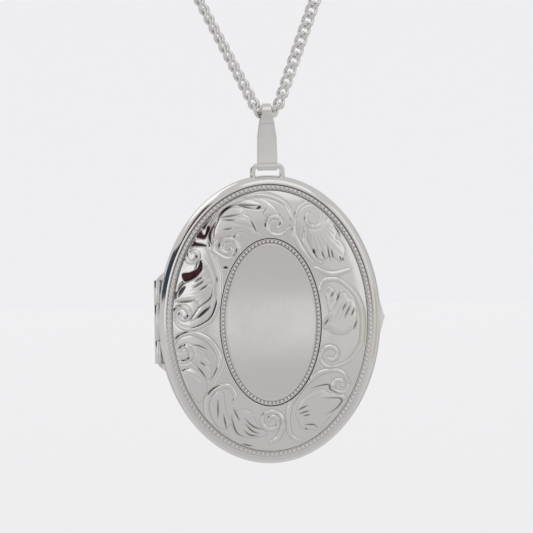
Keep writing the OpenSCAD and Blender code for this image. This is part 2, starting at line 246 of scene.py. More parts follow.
# Turns a profile of [half width, depth] into an oval ring or dish; side is -1 for the front half
def ovalLathe(profile, side, steps=256, closed=True):
    rows = np.array(profile + profile[:1] if closed else profile)
    bm = bmesh.new()
    bmesh.ops.create_grid(bm, x_segments=steps, y_segments=len(rows) - 1, size=1)
    mesh = bpy.data.meshes.new("lathe")
    bm.to_mesh(mesh)
    at = coordinates(mesh)
    r, depth = rows[np.rint((at[:, 1] + 1) / 2 * (len(rows) - 1)).astype(int)].T
    turn = (at[:, 0] + 1) * math.pi
    store(mesh, np.stack([r * np.cos(turn), side * depth, r * np.sin(turn)], 1))
    bm.clear()
    bm.from_mesh(mesh)
    bmesh.ops.remove_doubles(bm, verts=bm.verts, dist=1e-4)
    bmesh.ops.recalc_face_normals(bm, faces=bm.faces)
    bm.to_mesh(mesh)
    bm.free()
    at = coordinates(mesh)
    r = np.hypot(at[:, 0], at[:, 2])
    addValue(mesh, "inset", case["halfWidth"] - r)
    at[:, 2] *= stretch(r)
    store(mesh, at)
    return mesh


def addValue(mesh, name, values):
    mesh.attributes.new(name, "FLOAT", "POINT").data.foreach_set("value", values.astype(np.float32))


def readValue(mesh, name):
    values = np.zeros(len(mesh.vertices), np.float32)
    mesh.attributes[name].data.foreach_get("value", values)
    return values


def coordinates(mesh):
    at = np.zeros(len(mesh.vertices) * 3)
    mesh.vertices.foreach_get("co", at)
    return at.reshape(-1, 3)


def store(mesh, at):
    mesh.vertices.foreach_set("co", at.ravel())
    mesh.update()


# How much taller than wide the oval of half width r is
def stretch(r):
    r = np.maximum(r, case["plateHalfWidth"])
    return (r + extraHeight) / r


def onOval(inset, angle):
    r = case["halfWidth"] - inset
    return r * math.cos(angle), r * float(stretch(r)) * math.sin(angle)


# Smooth curve through [x, y] points, read at any x
def smoothThrough(points, x):
    px, py = np.array(points, float).T
    slope = np.gradient(py, px)
    i = np.clip(np.searchsorted(px, x) - 1, 0, len(px) - 2)
    h = px[i + 1] - px[i]
    t = np.clip((x - px[i]) / h, 0, 1)
    return ((2 * t**3 - 3 * t**2 + 1) * py[i] + (t**3 - 2 * t**2 + t) * h * slope[i]
            + (3 * t**2 - 2 * t**3) * py[i + 1] + (t**3 - t**2) * h * slope[i + 1])


# Depth of the field under its engraving, by distance inside the outline
fieldCurve = [(1.3, 1.72), (2.0, 2.03), (3.0, 2.45), (4.2, 2.86), (6.4, 3.36), (8.4, 3.62), (9.6, 3.72)]

def domeDepth(r):  # the plate at the middle, by half width
    return case["halfThick"] - 0.02 - case["plateRise"] * (r / case["plateHalfWidth"]) ** 2


# Pushes a cover's edge back from the hinge's barrel
def clearBarrel(mesh):
    at = coordinates(mesh)
    dx, dy = at[:, 0] - pinX, at[:, 1]
    far = np.hypot(dx, dy)
    near = (np.abs(at[:, 2]) < case["notchHalf"]) & (far < case["notchRadius"])
    scale = case["notchRadius"] / np.maximum(far[near], 1e-3)
    at[near, 0] = pinX + dx[near] * scale
    at[near, 1] = dy[near] * scale
    store(mesh, at)
    return mesh


# Outlines of the smooth puffed leaves, as [across, up]
leaves = {
    "topBody": [(-7.9, 11.2), (-8.0, 12.9), (-7.5, 14.4), (-6.5, 15.5), (-4.9, 15.7), (-3.5, 15.6),
        (-3.5, 14.9), (-2.9, 14.6), (-2.4, 13.7), (-2.0, 12.9), (-1.4, 12.1), (-2.4, 12.1), (-3.5, 12.6),
        (-4.4, 12.5), (-5.2, 11.9), (-6.2, 11.9), (-7.2, 11.5)],
    "topLobe": [(-6.8, 16.0), (-5.7, 16.6), (-4.3, 17.2), (-2.6, 16.9), (-1.2, 16.3), (-0.8, 15.7),
        (-1.7, 15.5), (-2.9, 15.8), (-4.3, 16.1), (-5.7, 16.1)],
    "topTip": [(-1.8, 17.3), (-0.4, 16.7), (0.7, 15.8), (1.4, 14.5), (0.8, 14.1), (-0.2, 14.4),
        (-0.8, 15.0), (-0.4, 15.6), (-1.0, 16.5)],
    "upperRight": [(6.3, 8.7), (5.1, 10.9), (4.7, 12.9), (5.1, 13.7), (6.2, 12.9), (7.3, 13.4),
        (7.9, 13.9), (8.9, 13.9), (9.4, 13.1), (9.5, 12.3), (9.1, 11.4), (9.8, 10.9), (10.4, 9.7),
        (10.1, 8.6), (9.7, 8.1), (8.9, 8.7), (8.1, 8.9), (7.2, 8.4)],
    "right": [(7.4, 4.2), (8.1, 4.8), (8.8, 4.2), (9.2, 3.4), (10.3, 3.9), (10.7, 3.1), (11.7, 2.5),
        (11.9, 0.8), (11.6, -0.6), (10.6, -1.7), (9.5, -1.9), (8.4, -1.6), (7.9, -1.1), (7.1, -0.8),
        (7.5, 0.3), (8.1, 0.9), (7.9, 2.0), (7.7, 3.1)],
    "lowerRight": [(4.6, -10.4), (5.8, -9.6), (6.9, -9.4), (7.7, -9.9), (9.4, -10.2), (10.5, -10.8),
        (9.4, -11.4), (8.8, -12.2), (7.6, -13.8), (6.2, -15.2), (5.3, -14.9), (4.3, -14.9), (3.7, -13.8),
        (3.3, -12.9), (3.8, -11.5)],
    "bottomLeft": [(-8.4, -10.7), (-7.7, -9.4), (-6.7, -9.7), (-6.5, -11.1), (-6.2, -12.7), (-5.2, -14.7),
        (-4.1, -15.8), (-2.4, -16.0), (-0.7, -15.5), (-1.5, -14.8), (-2.4, -13.6), (-2.8, -12.5),
        (-3.4, -12.0), (-4.8, -12.2), (-5.4, -13.3), (-6.3, -14.7), (-7.6, -14.1), (-8.3, -12.7)],
    "lowerLeft": [(-11.9, -2.8), (-10.5, -3.1), (-9.1, -4.1), (-8.5, -5.5), (-8.3, -7.1), (-8.9, -8.0),
        (-9.5, -6.8), (-10.3, -5.7), (-11.0, -5.1), (-11.5, -4.0)],
    "lowerLeftTail": [(-12.7, -7.1), (-11.4, -6.2), (-9.7, -6.8), (-8.9, -8.2), (-9.2, -9.9),
        (-10.0, -11.0), (-10.9, -9.9), (-12.0, -8.7)],
    "upperLeft": [(-12.9, 4.3), (-12.1, 5.7), (-10.6, 6.5), (-9.9, 8.5), (-9.3, 8.7), (-8.6, 7.9),
        (-8.0, 6.5), (-7.7, 4.5), (-8.2, 2.9), (-9.0, 1.8), (-10.1, 0.7), (-11.1, 0.4), (-10.4, 1.5),
        (-9.8, 2.6), (-10.7, 3.2), (-11.8, 3.2), (-13.2, 3.0)],
}

# Where each leaf's flutes fan out from, the angle between two of them, and how they curve
flutes = {
    "topBody": (-10.5, 13.8, 0.15, 0.03),
    "upperRight": (6.2, 15.5, 0.13, -0.05),
    "right": (7.5, -4.0, 0.12, 0.03),
    "lowerRight": (0.2, -13.6, 0.14, 0.03),
    "bottomLeft": (-6.5, -9.0, 0.2, -0.05),
    "lowerLeft": (-12.8, -2.8, 0.2, 0.05),
    "lowerLeftTail": (-13.4, -6.2, 0.25, 0.04),
    "upperLeft": (-14.2, 3.0, 0.13, 0.03),
}

stems = {
    "top": [(-5.0, 9.0), (-6.0, 8.9), (-7.0, 9.4), (-8.0, 10.3), (-8.0, 11.5), (-7.9, 13.0), (-7.2, 14.5),
        (-6.4, 15.5), (-4.8, 16.6), (-3.4, 17.2), (-1.3, 17.5), (0.7, 17.1), (2.2, 16.2), (3.0, 14.8),
        (3.0, 13.3), (2.1, 12.4)],
    "topHook": [(-6.7, 10.5), (-6.4, 11.3), (-5.5, 11.6), (-5.0, 11.5), (-4.5, 12.0)],
    "upperRight": [(3.5, 14.5), (3.3, 13.3), (3.4, 12.1), (3.9, 10.9), (4.6, 9.7), (5.8, 8.3)],
    "upperRightFoot": [(6.2, 7.4), (8.5, 6.5), (11.0, 7.0)],
    "upperRightInner": [(5.1, 13.1), (4.8, 11.3), (5.9, 9.0), (6.9, 8.1)],
    "right": [(8.2, -6.4), (9.7, -6.1), (11.0, -5.4), (12.0, -4.1), (12.6, -2.9), (12.8, -0.9),
        (12.7, 1.0), (12.3, 2.4), (11.7, 3.6), (10.7, 4.7), (9.5, 5.6), (8.3, 5.8), (7.2, 5.5),
        (6.8, 4.4)],
    "lowerRight": [(10.7, -8.5), (9.9, -7.3), (8.7, -6.8), (6.7, -7.1), (4.7, -8.5), (3.5, -9.9),
        (2.6, -11.2), (2.2, -12.7), (2.2, -14.2), (2.5, -15.6), (3.2, -16.3), (4.0, -16.6)],
    "bottom": [(-1.0, -12.6), (-0.1, -12.3), (0.9, -12.7), (1.5, -13.7), (1.4, -14.9), (0.7, -16.2),
        (-0.2, -16.7)],
    "bottomLeft": [(-5.3, -10.9), (-5.0, -10.1), (-5.8, -8.7), (-7.1, -8.8), (-8.2, -9.5), (-8.9, -10.7),
        (-9.0, -12.0), (-8.7, -13.2), (-8.0, -14.4), (-7.2, -15.4), (-6.0, -16.1)],
    "lowerLeft": [(-13.2, -2.6), (-12.5, -1.8), (-11.2, -1.3), (-9.9, -1.5), (-8.5, -2.3), (-7.6, -3.5),
        (-7.1, -4.7), (-7.2, -6.0), (-7.8, -7.3), (-8.3, -8.4)],
    "upperLeft": [(-10.0, 10.8), (-8.5, 10.5), (-7.8, 9.0), (-7.1, 7.0), (-7.1, 5.5), (-7.1, 4.0),
        (-7.3, 2.5), (-8.1, 0.7), (-9.7, -0.4), (-11.2, -0.8), (-12.5, -0.4), (-13.2, 0.6)],
}

# Spirals at the stems' ends: middle, radius, degrees at the outer end, and which way they wind inwards
volutes = {
    "topLeft": ((-5.8, 10.4), 1.6, -60, 1),
    "topRight": ((0.9, 13.5), 1.65, -43, -1),
    "upperRight": ((6.0, 14.3), 2.4, 175, -1),
    "right": ((8.2, -4.7), 1.7, -90, -1),
    "lowerRight": ((9.4, -8.9), 1.35, 17, -1),
    "bottom": ((0.0, -13.7), 1.5, 132, 1),
    "lowerLeft": ((-12.0, -4.0), 1.75, 130, 1),
    "upperLeft": ((-10.6, 9.4), 1.5, 67, 1),
    "left": ((-12.0, 1.2), 1.35, 207, -1),
}

cuts = {
    "top": [
        [(-6.9, 14.4), (-3.9, 14.9)],
        [(-6.5, 14.1), (-4.4, 14.1)],
        [(-6.5, 12.8), (-4.9, 13.0)],
        [(-2.7, 14.4), (-1.6, 12.1)],
        [(-5.2, 16.2), (-0.9, 16.0)],
        [(-4.8, 16.2), (-1.8, 15.5)],
    ],
    "upperRight": [
        [(5.9, 9.9), (6.6, 8.5)],
        [(7.0, 9.9), (7.6, 8.4)],
        [(7.9, 10.7), (8.3, 8.1)],
        [(8.4, 10.1), (8.8, 8.4)],
        [(9.6, 9.0), (9.9, 8.1)],
        [(10.0, 8.7), (10.2, 8.1)],
        [(8.6, 13.7), (9.6, 12.0), (9.5, 11.2)],
    ],
    "right": [
        [(8.2, 3.2), (8.8, 4.2)],
        [(9.0, 2.5), (9.6, 4.1)],
        [(9.8, 1.3), (10.5, 2.6)],
        [(10.1, 0.3), (11.1, 2.3)],
        [(11.1, 0.5), (11.6, 1.8)],
        [(8.1, 0.6), (7.2, -0.7)],
        [(12.0, 0.1), (11.4, -1.4)],
    ],
    "lowerRight": [
        [(3.4, -12.3), (5.1, -11.5)],
        [(3.6, -12.8), (5.3, -12.3)],
        [(4.2, -13.1), (5.4, -12.9)],
        [(4.3, -14.3), (5.8, -14.4), (6.4, -15.0)],
        [(4.5, -14.8), (5.0, -15.1)],
        [(4.9, -9.3), (7.7, -8.8), (8.2, -9.6), (9.9, -10.2)],
        [(6.6, -10.6), (9.6, -10.9), (9.1, -12.1), (7.1, -13.2)],
    ],
    "bottomLeft": [
        [(-7.4, -10.3), (-7.4, -13.5)],
        [(-6.7, -12.5), (-6.2, -15.0)],
        [(-5.7, -12.5), (-4.9, -15.2), (-3.5, -16.0)],
        [(-5.4, -11.6), (-4.4, -13.8)],
        [(-4.0, -13.0), (-2.6, -14.4), (-0.9, -15.0)],
        [(-3.8, -13.8), (-2.8, -15.0), (-1.5, -15.5)],
        [(-4.0, -14.8), (-3.1, -15.6), (-1.7, -15.8)],
        [(-4.5, -16.9), (-2.5, -17.3)],
    ],
    "lowerLeft": [
        [(-10.9, -3.2), (-10.2, -3.0), (-8.5, -3.7)],
        [(-9.9, -5.2), (-8.9, -6.0)],
        [(-10.3, -5.8), (-8.8, -7.7)],
    ],
    "upperLeft": [
        [(-10.4, 5.7), (-9.2, 6.5)],
        [(-10.7, 4.8), (-8.8, 6.1)],
        [(-9.9, 4.4), (-8.4, 5.5)],
        [(-12.9, 4.1), (-11.9, 5.7)],
        [(-13.2, 2.9), (-10.9, 3.1), (-10.1, 3.5)],
        [(-10.1, 2.1), (-8.3, 3.5), (-7.9, 5.0)],
    ],
    "deep": [
        [(-10.4, 0.5), (-8.1, 2.5)],
        [(-11.1, 10.2), (-11.7, 9.1), (-12.1, 8.0)],
        [(-7.2, 14.0), (-6.6, 14.9), (-5.7, 15.7), (-4.5, 16.2)],
        [(-1.8, 15.5), (-1.0, 16.0)],
        [(5.9, 10.1), (6.2, 9.2)],
        [(-12.7, 3.6), (-12.2, 4.5), (-11.6, 5.2)],
        [(-6.5, 7.6), (-5.7, 7.7)],
        [(-7.8, 10.4), (-8.2, 12.0), (-7.3, 14.0)],
    ],
}

# Ground cut right away, as the outline of each well
wells = [
    [(-12.0, 6.75), (-10.9, 7.0), (-9.9, 7.6), (-9.45, 8.7), (-9.3, 7.6), (-9.8, 6.7), (-10.7, 6.0),
     (-11.7, 5.75)],
    [(-11.1, 10.2), (-10.3, 11.8), (-10.2, 11.2), (-9.8, 11.0), (-9.0, 10.85), (-8.7, 10.6),
     (-10.4, 10.55)],
    [(-10.0, 11.8), (-9.45, 12.9), (-9.2, 12.3), (-8.8, 12.1), (-8.4, 13.3), (-8.15, 13.0), (-8.5, 12.1),
     (-8.9, 11.55), (-9.6, 11.65)],
    [(-9.3, 13.0), (-8.4, 14.0), (-7.5, 14.95), (-8.0, 14.2), (-8.5, 13.5), (-8.9, 12.9)],
]

engraving = {
    "stemWidth": 0.62,
    "stemHeight": 0.14,
    "stemGroove": 0.06,
    "leafHeight": 0.13,
    "leafEdge": 1.1,          # how far in from its outline a leaf is rounded
    "fluteDepth": 0.45,       # share of the leaf's height
    "wellDepth": 0.3,
    "veinWidth": 0.34,
    "veinDepth": 0.15,
    "deepWidth": 0.55,
    "deepDepth": 0.22,
    "voluteTurns": 1.1,
    "darkAt": 0.15,           # a cut this deep is fully darkened: oxide with painted shade and a painted reflection
    "stepsRound": 1040,
    "rowsAcross": 92,
    "fieldSheet": 0.3,
}


def spline(points, step=0.25, closed=False):
    points = [np.array(p, float) for p in points]
    if closed:
        points = [points[-1]] + points + points[:2]
    else:
        points = [2 * points[0] - points[1]] + points + [2 * points[-1] - points[-2]]
    out = []
    for a, b, c, d in zip(points, points[1:], points[2:], points[3:]):
        count = max(2, int(np.linalg.norm(c - b) / step))
        for t in np.arange(count) / count:
            out.append(0.5 * (2 * b + (c - a) * t + (2 * a - 5 * b + 4 * c - d) * t**2
                              + (3 * b - a - 3 * c + d) * t**3))
    out.append(points[-2])
    return np.array(out)


def spiral(centre, radius, start, hand, turns):
    t = np.linspace(0, 1, 48)
    r = radius * (1 - 0.68 * t)
    angle = math.radians(start) + hand * 2 * math.pi * turns * t
    return np.array(centre) + np.stack([r * np.cos(angle), r * np.sin(angle)], 1)


class Relief:  # heights and cuts over the field's points
    def __init__(self, x, z):
        self.points = np.stack([x, z], 1)
        self.high, self.low = np.zeros(len(x)), np.zeros(len(x))

    # Distance of the points near a line from it, and how far along the line they are
    def near(self, line, reach):
        low, high = line.min(0) - reach, line.max(0) + reach
        chosen = np.nonzero(((self.points > low) & (self.points < high)).all(1))[0]
        p = self.points[chosen]
        best, along = np.full(len(p), 1e9), np.zeros(len(p))
        for i, (a, b) in enumerate(zip(line, line[1:])):
            ab = b - a
            t = np.clip((p - a) @ ab / max(ab @ ab, 1e-9), 0, 1)
            d = np.linalg.norm(p - a - t[:, None] * ab, axis=1)
            closer = d < best
            best[closer], along[closer] = d[closer], (i + t[closer]) / (len(line) - 1)
        return chosen, best, along

    def stem(self, line, width, height, groove, taper=0.35):
        chosen, d, along = self.near(line, width * 1.5)
        size = 1 - taper * np.abs(2 * along - 1) ** 2
        u = d / (width / 2 * size)
        ridge = height * size * np.clip(1 - u**2, 0, 1) ** 1.5
        self.high[chosen] = np.maximum(self.high[chosen], ridge)
        edge = np.clip(1 - np.abs(u - 1.3) / 0.35, 0, 1)
        self.low[chosen] = np.maximum(self.low[chosen], groove * size * edge)

    def cut(self, line, width, depth):
        chosen, d, along = self.near(line, width)
        size = np.sin(math.pi * np.clip(along, 0, 1)) ** 0.6
        u = d / (width / 2 * np.maximum(size, 0.05))
        self.low[chosen] = np.maximum(self.low[chosen], depth * size * np.clip(1 - u, 0, 1))

    def within(self, outline):
        chosen, d, _ = self.near(outline, 0.3)
        x, z = self.points[chosen].T
        inside = np.zeros(len(x), bool)
        for (x0, z0), (x1, z1) in zip(outline, outline[1:]):
            if z0 != z1:
                inside ^= ((z0 > z) != (z1 > z)) & (x < (x1 - x0) * (z - z0) / (z1 - z0) + x0)
        return chosen, d, inside

    def well(self, outline, depth):
        chosen, d, inside = self.within(outline)
        sunk = depth * np.clip(0.35 + np.where(inside, d, -d) / 0.15, 0, 1)
        self.low[chosen] = np.maximum(self.low[chosen], sunk)

    def leaf(self, outline, height, edge, flute):
        chosen, d, inside = self.within(outline)
        rise = height * np.sqrt(1 - (1 - np.clip(d / edge, 0, 1)) ** 2)
        if flute:
            x, z = (self.points[chosen] - flute[:2]).T
            reach = np.hypot(x, z)
            share = (reach - reach.min()) / np.ptp(reach)     # the flutes deepen towards the leaf's tips
            wave = np.abs(np.sin(math.pi * (np.arctan2(z, x) + flute[3] * reach) / flute[2]))
            rise = rise * (1 - engraving["fluteDepth"] * share * (1 - wave))
        self.high[chosen] = np.maximum(self.high[chosen], np.where(inside, rise, 0))
        rim = np.where(inside, 0, np.clip(1 - d / 0.16, 0, 1))
        self.low[chosen] = np.maximum(self.low[chosen], 0.05 * rim)


def engrave(x, z):
    relief, e = Relief(x, z), engraving
    for name, outline in leaves.items():
        relief.leaf(spline(outline, closed=True), e["leafHeight"], e["leafEdge"], flutes.get(name))
    for outline in wells:
        relief.well(spline(outline, 0.12, closed=True), e["wellDepth"])
    for points in stems.values():
        relief.stem(spline(points), e["stemWidth"], e["stemHeight"], e["stemGroove"])
    for centre, radius, start, hand in volutes.values():
        relief.stem(spiral(centre, radius, start, hand, e["voluteTurns"]),
                    e["stemWidth"] * 0.85, e["stemHeight"], e["stemGroove"], taper=0.2)
    for name, lines in cuts.items():
        deep = name == "deep"
        for points in lines:
            relief.cut(spline(points, 0.15), e["deepWidth" if deep else "veinWidth"],
                       e["deepDepth" if deep else "veinDepth"])
    return relief.high, relief.low


def frontField():
    e = engraving
    d = np.linspace(case["fieldFrom"], case["fieldTo"], e["rowsAcross"])
    top = np.stack([case["halfWidth"] - d, smoothThrough(fieldCurve, d)], 1)
    under = [(r, y - e["fieldSheet"]) for r, y in (top[-1], top[len(top) // 2], top[0])]
    mesh = ovalLathe([tuple(p) for p in top] + under, -1, e["stepsRound"])
    at = coordinates(mesh)
    inset = readValue(mesh, "inset")
    surface = smoothThrough(fieldCurve, inset)
    onTop = -at[:, 1] > surface - 0.12
    high, low = engrave(at[:, 0], at[:, 2])
    margin = np.clip((inset - case["fieldFrom"]) / 0.25, 0, 1)
    margin *= np.clip((case["fieldTo"] - inset) / 0.2, 0, 1)
    at[onTop, 1] -= ((high - low) * margin)[onTop]
    store(mesh, at)
    # The cuts are darkened by their depth: partly oxide, partly painted shade and a painted maroon
    # reflection
    addValue(mesh, "shadedRecess", np.clip(low / e["darkAt"], 0, 1) * margin * onTop)
    return mesh


# Outside of the front from the pole of the plate out to the seam, then back in along the inside
def frontShell():
    half, edge = case["halfWidth"], case["plateHalfWidth"]
    shares = (0, 0.04, 0.1, 0.2, 0.3, 0.4, 0.5, 0.6, 0.7, 0.8, 0.88, 0.95)
    dome = [(edge * k, domeDepth(edge * k)) for k in shares]
    outside = [(9.2, 3.70), (9.15, 3.60), (8.82, 3.50), (8.5, 3.44), (8.42, 3.3),
               (8.3, 3.2), (6.4, 3.0), (4.2, 2.5), (2.1, 1.75), (1.95, 1.78), (1.9, 1.94), (1.84, 1.94),
               (1.8, 1.66), (1.5, 1.56), (1.24, 1.5), (1.2, 1.42), (1.13, 1.42), (1.09, 1.6),
               (0.8, 1.49), (0.5, 1.28), (0.24, 0.95), (0.07, 0.6), (0, 0.3), (0, 0.09), (0.04, 0.055)]
    inside = [(0.42, 0.055), (0.45, 0.09), (0.45, 0.45), (0.8, 1.05), (1.35, 1.38), (2.2, 1.5),
              (4.2, 2.2), (6.4, 2.72), (8.4, 2.95), (9.3, 3.2)]
    outline = dome + [(half - d, y) for d, y in outside + inside] + [(edge * 0.7, 3.35), (0, 3.45)]
    mesh = clearBarrel(ovalLathe(rounded(outline, 0.05, closed=False, steps=2), -1, 320, closed=False))
    inset = readValue(mesh, "inset")
    height = np.clip((coordinates(mesh)[:, 2] + 2) / 12, 0, 1)
    # Each groove's inner and outer edge, and its painted shade at the foot and at the head of the case:
    # the grooves by the beads are painted darker towards the head
    grooveShade = [(1.09, 1.2, 0, 0.75), (1.24, 1.85, 0.1, 0.25), (1.86, 2.02, 0, 0.3),
               (8.38, 8.52, 0.3, 0.8), (8.56, 9.13, 0.5, 0.7)]
    addValue(mesh, "shadedRecess", sum((foot + (head - foot) * height) * ((inset > low) & (inset < high))
                                 for low, high, foot, head in grooveShade))
    return mesh


# The back is plain: the same bevel, a fine step, and one smooth dome
def backShell():
    half = case["halfWidth"]
    outside = [(0, 0.3), (0.07, 0.6), (0.24, 0.95), (0.5, 1.28), (0.8, 1.49), (1.15, 1.67), (1.2, 1.6),
               (1.3, 1.62), (1.36, 1.76)]
    curve = [(1.36, 1.76), (2.2, 2.22), (4.2, 2.92), (6.4, 3.42), (8.55, 3.7), (12, 3.92), (15.4, 3.98)]
    domed = [(half - d, float(smoothThrough(curve, d))) for d in np.linspace(1.45, half, 44)]
    hollow = [(1, 3.5), (0.7, 3.38), (0.5, 3.1), (0.3, 2.55), (0.15, 1.85), (0.09, 1.4), (0.052, 1.05),
              (0.029, 0.45), (0.029, 0.09), (0.027, 0.055), (0.003, 0.055), (0, 0.09)]
    inside = [(half * (1 - k), y) for k, y in hollow]
    outline = inside + rounded([(half - d, y) for d, y in outside], 0.06, closed=False, steps=2) + domed
    return clearBarrel(ovalLathe(outline, 1, 320, closed=False))


beads = {
    "outer": {"inset": 1.5, "depth": 1.66, "size": 0.285, "count": 164},
    "inner": {"inset": 8.82, "depth": 3.55, "size": 0.25, "count": 102},
}


# Beads stand at even steps along the oval
def beadRow(inset, depth, size, count):
    turn = np.linspace(0, 2 * math.pi, 2001)
    path = np.array([onOval(inset, t) for t in turn])
    run = np.concatenate([[0], np.cumsum(np.linalg.norm(np.diff(path, axis=0), axis=1))])
    bm = bmesh.new()
    for s in run[-1] * np.arange(count) / count:
        x, z = (np.interp(s, run, path[:, k]) for k in (0, 1))
        place = Matrix.Translation((x, -depth, z))
        bmesh.ops.create_icosphere(bm, subdivisions=2, radius=size, matrix=place)
    return bm


finish(frontShell(), "frontShell", "front_half", plateSilver, ["front_cover"])
finish(frontField(), "frontField", "front_half", engravedSilver)
for name, row in beads.items():
    finish(beadRow(**row), name + "Beads", "front_half", polishedSilver)
finish(backShell(), "backShell", "back_half", polishedSilver, ["back_cover"])
print("covers made")


inner = {
    "flange": {"front": (0.8, 0.65), "back": (0.5, 0.055)},    # from the outline, and below the seam
    "flangeThick": 0.29,
    "well": (2.07, 2.3),
    "wellDepth": 1.64,
    "ledge": 3.18,
    "ledgeDepth": 1.45,
    "card": (2.34, 1.23, 1.43),        # from the outline, and its top and foot
    "window": (2.34, 1.01, 1.2),
}


def innerRim(side, sign):
    edge, top = inner["flange"][side]
    near, far = inner["well"]
    low = top + inner["flangeThick"]
    ledge, ledgeY, floorY = inner["ledge"], inner["ledgeDepth"], inner["wellDepth"]
    outline = [(edge, top), (far, top), (far, ledgeY), (ledge, ledgeY), (ledge, floorY), (near, floorY),
               (near, low), (edge, low)]
    return clearBarrel(ovalLathe(rounded([(case["halfWidth"] - d, y) for d, y in outline], 0.07), sign))


def ovalSheet(size, sign):
    d, top, low = size
    r = case["halfWidth"] - d
    soft = 0.03
    outline = [(0, top), (r * 0.5, top), (r - soft, top), (r, top + soft), (r, low - soft),
               (r - soft, low), (r * 0.5, low), (0, low)]
    return ovalLathe(outline, sign, 128, closed=False)


# Half-round oval frame with a fine inner step
def pictureFrame(sign):
    outline = [(2.34, 0.94), (2.34, 0.7), (2.42, 0.655), (2.56, 0.655), (2.64, 0.7), (2.7, 0.76),
               (3.02, 0.77), (3.08, 0.82), (3.08, 0.94)]
    return ovalLathe(rounded([(case["halfWidth"] - d, y) for d, y in outline], 0.05), sign)


for side, sign in (("front", -1), ("back", 1)):
    half = side + "_half"
    finish(innerRim(side, sign), side + "InnerRim", half, brushedSilver,
           [side + "_inner_rim"])
    finish(ovalSheet(inner["card"], sign), side + "Card", half, card, [side + "_picture_card"])
    finish(ovalSheet(inner["window"], sign), side + "Window", half, clear, [side + "_window"])
    finish(pictureFrame(sign), side + "PictureFrame", half, brushedSilver,
           [side + "_picture_frame"])
print("inside made")


# A solid standing on an outline in the seam's plane, from one depth to another
def slab(bm, outline, low, high):
    face = bm.faces.new([bm.verts.new((x, low, z)) for x, z in outline])
    grown = bmesh.ops.extrude_face_region(bm, geom=[face])["geom"]
    lifted = [v for v in grown if isinstance(v, bmesh.types.BMVert)]
    bmesh.ops.translate(bm, verts=lifted, vec=(0, high - low, 0))
    bmesh.ops.recalc_face_normals(bm, faces=bm.faces)


# A body turned about an upright axis at x, from an outline of [radius, height]
def turned(bm, outline, x, steps=40, closed=True):
    verts = [bm.verts.new((x + r, 0, z)) for r, z in outline]
    edges = [bm.edges.new(p) for p in zip(verts, verts[1:] + verts[:1] if closed else verts[1:])]
    bmesh.ops.spin(bm, geom=verts + edges, cent=(x, 0, 0), axis=(0, 0, 1), angle=2 * math.pi,
                   steps=steps, use_merge=True)
    bmesh.ops.remove_doubles(bm, verts=bm.verts, dist=1e-4)
    bmesh.ops.recalc_face_normals(bm, faces=bm.faces)


def caseEdge(z, inset=0):  # half width of the case at a height, or of the oval that lies inside it
    return (case["halfWidth"] - inset) * math.sqrt(1 - (z / (case["halfHeight"] - inset)) ** 2)


hinge = {
    "pin": 0.25,
    "pinHalf": 5.89,
    "knuckle": 0.498,
    "chamfer": 0.06,
    "strap": (0.42, 0.62),      # from the pin's axis towards the case
    "strapDepth": (0.12, 0.44),
    "bearerDepth": (0.06, 0.54),
    "bearerRows": (5.87, 6.25, 6.65, 7.0),
    "bearerFrom": 0.03,         # from the pin's axis, up to the shoulder, and sunk in the case's side
    "bearerShoulder": 6.1,
    "bearerSunk": 0.12,
}

# Each knuckle's foot and head, its bore, and the side of the seam that its strap goes to
knuckles = {
    "frontKnuckle": ((-2.5, 2.5), 0.28, -1, "front_half", "front_hinge_knuckle"),
    "backKnuckleUpper": ((2.55, 5.8), 0.26, 1, "back_half", "back_hinge_knuckle_upper"),
    "backKnuckleLower": ((-5.8, -2.55), 0.26, 1, "back_half", "back_hinge_knuckle_lower"),
}


def knuckle(span, bore, side):
    low, high = span
    r, c = hinge["knuckle"], hinge["chamfer"]
    near, far = [pinX + x for x in hinge["strap"]]
    bm = bmesh.new()
    outline = [(bore, low), (r - c, low), (r, low + c), (r, high - c), (r - c, high), (bore, high)]
    turned(bm, outline, pinX)
    slab(bm, [(near, low), (far, low), (far, high), (near, high)],
         *sorted(side * y for y in hinge["strapDepth"]))
    return bm


for name, (span, bore, side, half, node) in knuckles.items():
    piece = finish(knuckle(span, bore, side), name, half, polishedSilver, [node])
    softEdges(piece, 0.02, 1, 30)


def hingePin():
    bm = bmesh.new()
    end, r = hinge["pinHalf"], hinge["pin"]
    half = [(r, end - 0.09), (r * 0.6, end - 0.02), (0, end)]
    turned(bm, [(x, -z) for x, z in reversed(half)] + half, pinX, 32, closed=False)
    return bm


finish(hingePin(), "hingePin", "back_half", steel, ["hinge_pin"])


def hingeBearer(side):
    bm = bmesh.new()
    start = pinX + hinge["bearerFrom"]
    foot, shoulder = hinge["bearerRows"][0], hinge["bearerShoulder"]
    for up in (1, -1):
        edge = [(hinge["bearerSunk"] - caseEdge(z), up * z) for z in hinge["bearerRows"]]
        slab(bm, [(start, up * foot), (start, up * shoulder)] + edge[::-1],
             *sorted(side * y for y in hinge["bearerDepth"]))
    return bm


lip = {
    "foot": -2.4,
    "head": 2.94,
    "point": 0.2,              # height of its point
    "reach": 0.47,
    "slope": 2.2,
    "bead": 0.1,               # the small swelling at the point, and its half length
    "beadHalf": 0.55,
    "most": 0.57,
    "sunk": 0.1,               # into the case's side
    "depth": (0.06, 0.59),
}


# Each half of the thumb lip hugs the case and comes to a low scalloped point
def thumbLip(side):
    bm = bmesh.new()
    rows = np.linspace(lip["foot"], lip["head"], 23)
    inner = [(caseEdge(z) - lip["sunk"], z) for z in rows]
    outer = []
    for z in rows[1:-1]:
        near = abs(z - lip["point"])
        out = lip["reach"] * max(0, 1 - near / lip["slope"]) ** 0.9
        if near < lip["beadHalf"]:
            out += lip["bead"] * math.cos(near / lip["beadHalf"] * math.pi / 2)
        outer.append((caseEdge(z) + min(out, lip["most"]), z))
    slab(bm, inner + outer[::-1], *sorted(side * y for y in lip["depth"]))
    return bm


